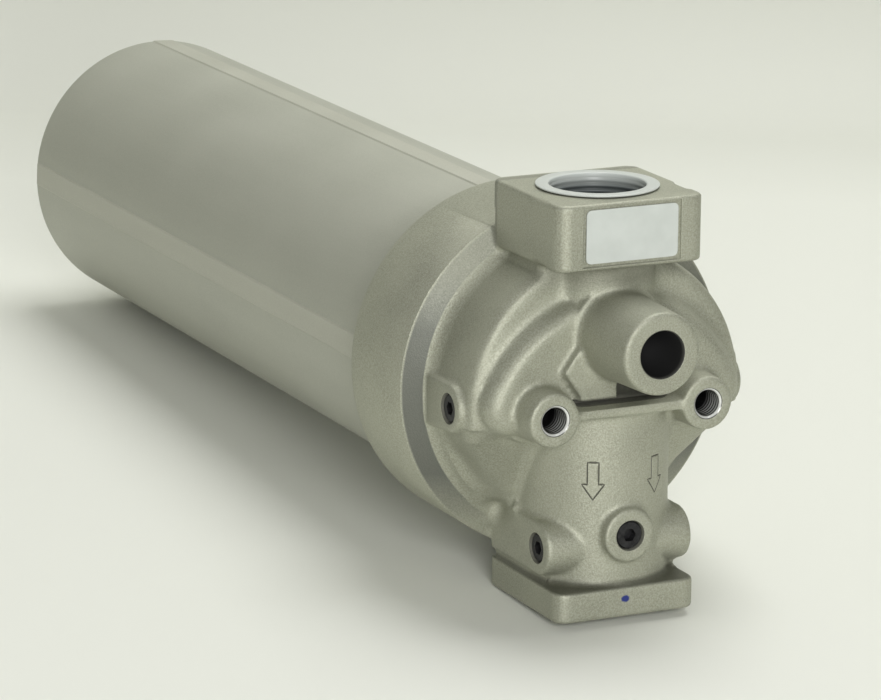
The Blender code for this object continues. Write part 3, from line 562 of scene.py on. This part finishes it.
# %% Plugs for its holes
BIG_BOSS_Z, MOUNT_X, MOUNT_Z, FRONT_PLUG_Z = 28.4, 34.2, -0.9, -51.9
SIDE_SPOT, LOWER_SPOT = (2.6, -1.3), (-14.5, -58.4)
plugs = [
    rod("chamber_room", 57, 13, 36, 96, ALONG_BOWL),
    rod("bowl_room", 68.5, 33.5, 83, 96, ALONG_BOWL),
    rod("inlet_room", 22.5, 26, 84.6),
    rod("outlet_room", 22.5, -86.2, 13),
    rod("spigot_room", 17, -9, 16, 64, ALONG_BOWL),
    rod("indicator_room", 11.5, 19, 55, 64, TOWARDS_FRONT, (0, 0, BIG_BOSS_Z)),
    rod("sense_room", 3, 0, 30, 32, TOWARDS_FRONT, (0, 0, 35.2)),
    rod("front_plug_room", 8, 2, 31, 48, TOWARDS_FRONT, (0, 0, FRONT_PLUG_Z)),
    block("plate_room", (-23, -31, 58.6), (23, -28, 83.7)),
]
for side in (-1, 1):
    plugs += [
        rod("mount_room", 8, 12, 31, 48, TOWARDS_FRONT, (side * MOUNT_X, 0, MOUNT_Z)),
        rod("feed_room", 4, 1, 16, 32, ALONG_BOWL, (side * 52.2, 0, SIDE_SPOT[1])),
        rod("side_plug_room", 7.5, 46, 62, 48, sideways(side), (0, *SIDE_SPOT)),
        rod("lower_plug_room", 7.5, 2, 31, 48, sideways(side), (0, *LOWER_SPOT)),
    ]

# %% Finer round forms over the faceted ones
def nose(radius, tail, tail_half, steps=40):
    return arc((0, 0), radius, -90, 90, steps) + [(-tail, tail_half), (-tail, -tail_half)]


def boss_profile(radius, face, base, rim, flare=0.0, taper=0.0):
    """A cast boss: round rim, drafted side and flared foot."""
    foot = radius + taper
    lower = arc((foot + flare, base + flare), flare, 180, 270, 8) if flare else [(foot, base)]
    lower += [(lower[-1][0], base - 2), (0, base - 2)]
    return [(0, face)] + arc((radius - rim, face - rim), rim, 90, 0, 6) + lower


skirt_profile = [(0, 84), (75.2, 84), (75.2, 29.6), (64.8, 24.1), (63.4, 22.9), (62.3, 21.6),
                 (61.6, 20.2), (61.2, 18.6), (0, 18.6)]
bell_profile = [(0, 28), (61.2, 28)] + arc((57.2, -7.5), 4.0, 0, -90, 10) + [(0, -11.5)]
bell = lathe("bell_form", bell_profile, 180, ALONG_BOWL)
only(bell)
bpy.ops.object.mode_set(mode="EDIT")
bpy.ops.mesh.select_all(action="SELECT")
bpy.ops.mesh.bisect(plane_co=place(0, 0, -8.2), plane_no=(0, 0, 1), use_fill=True, clear_inner=True)
bpy.ops.object.mode_set(mode="OBJECT")

HUMP_R, HUMP_Z, LOBE_R = 60.8, -16.0, 12.0
hump_side = math.degrees(math.asin((6 - HUMP_Z) / HUMP_R))
lobe_reach = HUMP_R - LOBE_R
lobe = (lobe_reach * math.cos(math.radians(hump_side)),
        HUMP_Z + lobe_reach * math.sin(math.radians(hump_side)))
hump_right = [(0, lobe[1] - LOBE_R)] + arc(lobe, LOBE_R, -90, hump_side - 6, 12)
hump_right += arc((0, HUMP_Z), HUMP_R, hump_side, 90, 36)[:-1] + [(0, HUMP_Z + HUMP_R)]


def both_sides(right):
    return right + [(-x, z) for x, z in reversed(right) if x > 0]


hump = rounded(slab("hump_form", both_sides(hump_right), -20.5, 20.5, TOWARDS_FRONT), 7.0, 8)

WEB_FRONT = 24.2
web_right = [(0, 2.0), (15.3, 2.0), (25.6, 15.3), (18.0, 26.0), (10.0, 41.0), (0, 41.0)]
web = rounded(slab("web_form", both_sides(web_right), 18.5, WEB_FRONT, TOWARDS_FRONT), 0.6, 2)

forms = [
    lathe("skirt_form", skirt_profile, 180, ALONG_BOWL), bell, hump, web,
    rod("neck_form", 23.5, 22, 59.5, 72),
    slab("duct_form", nose(30.5, 30.2, 30.5, 64), -75.6, -1, NOSE_FORWARD),
    lathe("indicator_form", boss_profile(16.8, 57.7, 20.5, 1.6, 2.6, 1.4), 72, TOWARDS_FRONT,
          (0, 0, BIG_BOSS_Z)),
    lathe("front_form", boss_profile(11.1, 33.6, 18.5, 1.0), 64, TOWARDS_FRONT,
          (0, 0, FRONT_PLUG_Z)),
]

# %% Pads at the sides, and the mounting bosses
SIDE_FACE, LOWER_FACE, PAD_RIM = 64.1, 32.5, 1.3
side_tail = [(22.8, 8.0), (22.8, -12.5)]
lower_tail = [(29.4, -47.4), (29.4, -69.4)]


def pad(name, spot, radius, tail, side, deep, face, deep_radius):
    """A flat pad whose round nose is drafted like a cone."""
    outline = [(spot[0] - x, spot[1] + y) for x, y in arc((0, 0), radius, -90, 90, 32)]
    low, high = sorted((side * deep, side * face))
    flat = rounded(slab(name, outline + tail, low, high, ACROSS), PAD_RIM, 4)
    flank = [(0, face - PAD_RIM), (radius, face - PAD_RIM), (deep_radius, deep), (0, deep)]
    return [flat, lathe(name + "_flank", flank, 64, sideways(side), (0, *spot))]


for side in (-1, 1):
    forms.append(lathe("mount_form", boss_profile(11.0, 33.4, 11.5, 1.1, 2.6, 0.7), 64,
                       TOWARDS_FRONT, (side * MOUNT_X, 0, MOUNT_Z)))
    forms += pad("side_form", SIDE_SPOT, 10.0, side_tail, side, 50, SIDE_FACE, 12.8)
    forms += pad("lower_form", LOWER_SPOT, 11.0, lower_tail, side, 12, LOWER_FACE, 11.6)

KNOB, KNOB_R = (31.8, 5.5, -47.2), 1.9
for side in (-1, 1):
    bpy.ops.object.select_all(action="DESELECT")
    bpy.ops.mesh.primitive_uv_sphere_add(segments=24, ring_count=12, radius=KNOB_R * MM,
                                         location=place(side * KNOB[0], KNOB[1], KNOB[2]))
    bpy.ops.object.transform_apply(location=True, rotation=False, scale=False)
    forms.append(bpy.context.active_object)

print("forms:", len(forms))

# %% Fuse, fill the corners and smooth
VOXEL, FILLET = 0.9, 1.4


def remesh(obj):
    only(obj)
    obj.data.remesh_voxel_size = VOXEL * MM
    bpy.ops.object.voxel_remesh()
    print("fused:", len(obj.data.polygons), "faces")


rough = joined("rough_head", [rough] + plugs + forms)
remesh(rough)

# The waist above the lower pads is cut back before the corners are filled.
WAIST_TOP, WAIST_REAR = -46.4, 23.0
waist_flat = [(8.6, WAIST_TOP), (WAIST_REAR, WAIST_TOP), (WAIST_REAR, -62), (-2, -62), (-2, -49.4),
              (8.6, -49.4)]
waist_corner = [(8.6, WAIST_TOP), (11.4, -49.8), (WAIST_REAR, -55.8), (WAIST_REAR, WAIST_TOP)]
for side in (-1, 1):
    for outline, inside in ((waist_flat, LOWER_FACE), (waist_corner, 30.8)):
        low, high = sorted((side * inside, side * 38))
        cut(rough, slab("waist_cut", outline, low, high, ACROSS))
apply(rough, "DISPLACE", strength=FILLET * MM, mid_level=0)
remesh(rough)
apply(rough, "DISPLACE", strength=-FILLET * MM, mid_level=0)
remesh(rough)


def soften(obj, pick, repeat):
    """Smooths only the vertices that a rule picks by their place."""
    group = obj.vertex_groups.new(name="soft")
    group.add([v.index for v in obj.data.vertices if pick(in_mm(v))], 1, "REPLACE")
    apply(obj, "SMOOTH", factor=0.5, iterations=repeat, vertex_group="soft")
    obj.vertex_groups.remove(obj.vertex_groups["soft"])


def on_cheek(p):
    """Between the mounting boss, the side pad and the lower pad."""
    off_boss = math.dist((abs(p.x), p.z), (MOUNT_X, MOUNT_Z)) > 15.5
    off_pad = p.z < -15 or abs(p.x) < 55 and p.z < 0
    return abs(p.x) > 33.8 and -47 < p.z and -14 < p.y < 19 and off_boss and off_pad


def behind_pad(p):
    """The cheek's lower edge behind the knob."""
    return 29 < abs(p.x) < 45 and -60 < p.z < -38 and 8.5 < p.y < 27


def in_valley(p):
    """The step from the bell's front to the hump, and from the hump to the neck."""
    from_boss = math.dist((p.x, p.z), (0, BIG_BOSS_Z))
    hump_step = from_boss > 24 and p.z > 12 and -19.8 < p.y < -5
    neck_step = from_boss > 21 and 46 < p.z < 57 and p.y < -4
    return hump_step or neck_step


soften(rough, on_cheek, 220)
soften(rough, behind_pad, 140)
soften(rough, in_valley, 60)
apply(rough, "SMOOTH", factor=0.5, iterations=3)

# %% [markdown]
# ### Machining
# The cutters that don't meet each other go into one object, so that few cuts are needed. A cut face
# takes the cutter's finish, which gives the machined faces and threads their own look, and paints
# shade into the slot, the plug holes, the arrow grooves and the indicator's bore.

# %% Cutters
def thread(name, mouth, crest, root, pitch, depth, turn, spot, steps=48):
    """A tapped hole from a face at 0 downwards, with a 45 degree mouth."""
    profile = [(0, 2), (mouth + 2, 2), (root, root - mouth)]
    height = root - mouth
    while height - pitch > -depth + pitch:
        profile += [(crest, height - pitch / 2), (root, height - pitch)]
        height -= pitch
    profile += [(crest, height - pitch / 2), (crest, -depth), (0, -depth)]
    return lathe(name, profile, steps, turn, spot)


HEAD_LOOKS = (CAST, MACHINED, THREAD, BORE_SHADE, CREVICE_SHADE)
AS_CAST, AS_BORED, AS_TAPPED, AS_BORE_SHADE, AS_SHADED = range(5)


def painted(obj, index, looks=HEAD_LOOKS):
    """Gives a shape a set of finishes and picks one of them for all its faces."""
    obj.data.materials.clear()
    for look in looks:
        obj.data.materials.append(look)
    for face in obj.data.polygons:
        face.material_index = index
    return obj


skirt_cut = [(73.2, 26), (73.2, 74.5)] + arc((65.7, 74.5), 7.5, 0, 90, 14)
skirt_cut += [(60, 82), (60, 87), (80, 87), (80, 26)]
SLOT_FLOOR, SLOT_TOP, SLOT_HALF = 1.5, 3.4, 21.0
POCKET_LEFT, POCKET_RIGHT, POCKET_TOP = -2.6, 10.3, 10.5
pocket = [(-SLOT_HALF, SLOT_FLOOR), (SLOT_HALF, SLOT_FLOOR), (SLOT_HALF, SLOT_TOP),
          (POCKET_RIGHT, SLOT_TOP), (POCKET_RIGHT, POCKET_TOP), (POCKET_LEFT, POCKET_TOP),
          (POCKET_LEFT, SLOT_TOP), (-SLOT_HALF, SLOT_TOP)]
faces = [
    painted(lathe("skirt_cut", skirt_cut, 180, ALONG_BOWL, ring=True), AS_CAST),
    painted(block("plate_cut", (-21.7, -36, 59.2), (21.7, -30.0, 83.6)), AS_CAST),
    # The slot under the web is painted with painted shade.
    painted(slab("web_pocket", pocket, 19.5, 30.0, TOWARDS_FRONT), AS_SHADED),
]
face_cutter = joined("face_cuts", faces)

bore = [(0, 39.5), (21.5, 39.5), (21.5, 15.5), (55.2, 15.5), (55.2, 34), (64.2, 34), (64.2, 66.1)]
bore += [(67.7, 66.1), (67.7, 71.6), (64.2, 71.6), (64.2, 81), (66.2, 83), (66.2, 86), (0, 86)]
plug_hole = [(0, 2), (8.4, 2), (6.1, -0.3), (6.1, -4.8), (4.5, -4.8)]
bores = [
    painted(lathe("bowl_bore", bore[::-1], 144, ALONG_BOWL), AS_BORED),
    painted(thread("inlet_thread", 22.0, 20.75, 21.0, PORT_PITCH, 24, UP, (0, 0, 84.6), 96),
            AS_BORED),
    painted(thread("outlet_thread", 22.0, 19.6, 21.0, PORT_PITCH, 24, DOWN, (0, 0, -86.2), 96),
            AS_BORED),
    # The indicator's bore is painted nearly black as painted shade.
    painted(lathe("indicator_bore", [(0, 2), (9.9, 2), (9.9, 0), (9.5, -0.4), (9.5, -30), (0, -30)],
                  96, TOWARDS_FRONT, (0, -57.7, BIG_BOSS_Z)), AS_BORE_SHADE),
    # The plug holes are painted with painted shade.
    painted(lathe("front_plug_hole", plug_hole + [(4.5, -19.6), (0, -19.6)], 48, TOWARDS_FRONT,
                  (0, -33.6, FRONT_PLUG_Z)), AS_SHADED),
]
for side in (-1, 1):
    bores += [
        painted(thread("mount_thread", 6.5, 5.1, 5.95, MOUNT_PITCH, 19, TOWARDS_FRONT,
                       (side * MOUNT_X, -33.4, MOUNT_Z)), AS_TAPPED),
        # The side and lower plug holes are painted with painted shade.
        painted(lathe("side_hole", plug_hole + [(4.5, -16.1), (0, -16.1)], 48, sideways(side),
                      (side * SIDE_FACE, *SIDE_SPOT)), AS_SHADED),
        painted(lathe("lower_hole", plug_hole + [(4.5, -26.5), (0, -26.5)], 48, sideways(side),
                      (side * LOWER_FACE, *LOWER_SPOT)), AS_SHADED),
    ]
bore_cutter = joined("bore_cuts", bores)

passages = [rod("inlet_passage", 16.5, 31, 61.6), rod("outlet_passage", 16.5, -63.2, 12)]
passages += [rod("feed", 2.2, 2.6, 16.5, 24, ALONG_BOWL, (side * 52.2, 0, SIDE_SPOT[1]))
             for side in (-1, 1)]
passage_cutter = painted(joined("passage_cuts", passages), AS_BORED)
links = [rod("throat", 13, 0, 16.5, 64, ALONG_BOWL, (0, 0, 41.5)),
         rod("spigot_bore", 15.5, -8.2, 40.5, 64, ALONG_BOWL),
         rod("sense_hole", 2, 1, 28.7, 24, TOWARDS_FRONT, (0, 0, 35.2))]
link_cutter = painted(joined("link_cuts", links), AS_BORED)

# %% Flow arrows round the duct
DUCT_R, ARROW_LINE, ARROW_STEP, ARROW_ANGLE = 30.5, 0.32, 1.5, 27.2
ARROW_TOP, ARROW_SHOULDER, ARROW_TIP, SHAFT_HALF, BARB_HALF = -21.7, -30.8, -37.1, 2.3, 4.6
arrow = [(-SHAFT_HALF, ARROW_TOP), (SHAFT_HALF, ARROW_TOP), (SHAFT_HALF, ARROW_SHOULDER),
         (BARB_HALF, ARROW_SHOULDER), (0, ARROW_TIP), (-BARB_HALF, ARROW_SHOULDER),
         (-SHAFT_HALF, ARROW_SHOULDER)]


def wrapped(angle, across, height):
    """A point on the duct, by its distance round the surface from a line at an angle."""
    turn = math.radians(angle) + across / DUCT_R
    return (DUCT_R * math.sin(turn), -DUCT_R * math.cos(turn), height)


def engraved(name, angle, outline):
    """A thin tube along a closed outline on the duct."""
    spots = []
    for here, there in zip(outline, outline[1:] + outline[:1]):
        steps = math.ceil(math.dist(here, there) / ARROW_STEP)
        for i in range(steps):
            across, height = (a + (b - a) * i / steps for a, b in zip(here, there))
            spots.append(wrapped(angle, across, height))
    line = chain(name, spots, True)
    bpy.ops.object.mode_set(mode="EDIT")
    bpy.ops.mesh.delete(type="ONLY_FACE")
    bpy.ops.object.mode_set(mode="OBJECT")
    bpy.ops.object.convert(target="CURVE")
    tube = bpy.context.active_object
    tube.data.bevel_depth = ARROW_LINE
    tube.data.bevel_resolution = 1
    bpy.ops.object.convert(target="MESH")
    return set_down(bpy.context.active_object, UP, (0, 0, 0))


# The arrow grooves are painted with painted shade.
arrows = [painted(engraved("flow_arrow", angle, arrow), AS_SHADED)
          for angle in (-ARROW_ANGLE, ARROW_ANGLE)]
arrow_cutter = joined("arrow_cuts", arrows)
print("arrows:", len(arrow_cutter.data.polygons), "faces")

# %% Cut the casting
head = painted(rough, AS_CAST)
head.name = "head_skin"
for cutter in (face_cutter, bore_cutter, passage_cutter, link_cutter, arrow_cutter):
    print("cutting", cutter.name)
    cut(head, cutter)
only(head)
bpy.ops.object.shade_smooth_by_angle(angle=math.radians(32))
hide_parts("head_casting")
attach(head, "head")
print("head:", len(head.data.polygons), "faces")

# %% [markdown]
# ## Inlet cap
# The transport cap is a thin moulded cup. Its lip is milky and soft at the edge, and the port's
# thread shows through its wall; this is painted into the wall's colour as dark rings of painted
# shade and light that follow the height.

# %% Inlet cap
def cap_finish():
    """Milky at the lip; below it painted shade, with the thread's rings in painted light and shade
    as seen through the wall.
    """
    material, shader, where = finish("milky_cap_look", (0.56, 0.59, 0.56), 0.35, 0.0, ior=1.45)
    wall = 1 - height_of(where, 80.0, 84.8)
    turns = (axis(where, 2) * (2 * math.pi / (PORT_PITCH * MM))).maths("SINE")
    # Painted shade and light: the dark port and its thread rings as seen through the wall.
    thread_shade_behind = shade_mix(turns.ramp(-1, 1), (0.07, 0.08, 0.08), (0.17, 0.19, 0.19))
    feed(shader, "Base Color", shade_mix(wall, (0.56, 0.59, 0.56), thread_shade_behind))
    feed(shader, "Normal", bump(turns * wall, 0.0003))
    return material


cap_profile = [(0, 70.2), (18.7, 70.2), (19.5, 71.0), (19.5, 85.1)]
cap_profile += arc((20.3, 85.1), 0.8, 180, 90, 6) + arc((24.6, 85.5), 0.4, 90, -90, 8)
cap_profile += [(20.9, 85.1), (20.7, 84.9), (20.7, 69.0), (0, 69.0)]
cap = lathe("cap_skin", cap_profile, 128)
cap.data.materials.append(cap_finish())
only(cap)
bpy.ops.object.shade_smooth_by_angle(angle=math.radians(40))
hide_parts("inlet_port_cap")
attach(cap, "inlet_cap")
print("cap:", len(cap.data.polygons), "faces")

# %% [markdown]
# ## Bowl
# The bowl is a turned tube with four flat strips that stand a little proud along its length. It is
# spun finely, so that its outline stays round, and the strips and the wrench hexagon are fused on.

# %% Bowl
bowl_profile = [(0, 476.9)] + arc((57.9, 470.9), 6.0, 90, 0, 12) + [(63.9, 35.3), (62.9, 34.3)]
bowl_profile += [(59.4, 34.3), (59.4, 465.9), (54.9, 470.4), (0, 470.4)]
bowl = lathe("bowl_tube", bowl_profile, 192, ALONG_BOWL)
STRIP_HALF, STRIP_FOOT, STRIP_TOP, STRIP_TURN = 4.9, 5.7, 64.25, 2.5
strip_section = [(62, -STRIP_FOOT), (63.5, -STRIP_FOOT), (STRIP_TOP, -STRIP_HALF),
                 (STRIP_TOP, STRIP_HALF), (63.5, STRIP_FOOT), (62, STRIP_FOOT)]
strips = []
for quarter in range(4):
    around = Matrix.Rotation(math.radians(90 * quarter + STRIP_TURN), 4, "Z")
    strips.append(slab("strip", strip_section, 82.3, 470.9, ALONG_BOWL @ around))
ribs = joined("strips", strips)


BOWL_LOOKS, WRENCH_R = (TUBE, STRIP_LIT), 20.8
hexagon = arc((0, 0), WRENCH_R, 0, 300, 5)
wrench = rounded(slab("wrench", hexagon, 474.9, 484.9, ALONG_BOWL), 0.8, 3, 40)
painted(bowl, 0, BOWL_LOOKS)
for extra in (painted(ribs, 1, BOWL_LOOKS), painted(wrench, 0, BOWL_LOOKS)):
    apply(bowl, "BOOLEAN", operation="UNION", solver="EXACT", object=extra)
    bpy.data.objects.remove(extra)
only(bowl)
bpy.ops.object.shade_smooth_by_angle(angle=math.radians(30))
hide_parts("bowl")
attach(bowl, "bowl")
print("bowl:", len(bowl.data.polygons), "faces")

# %% [markdown]
# The visual model has to stay inside the imported model's box.
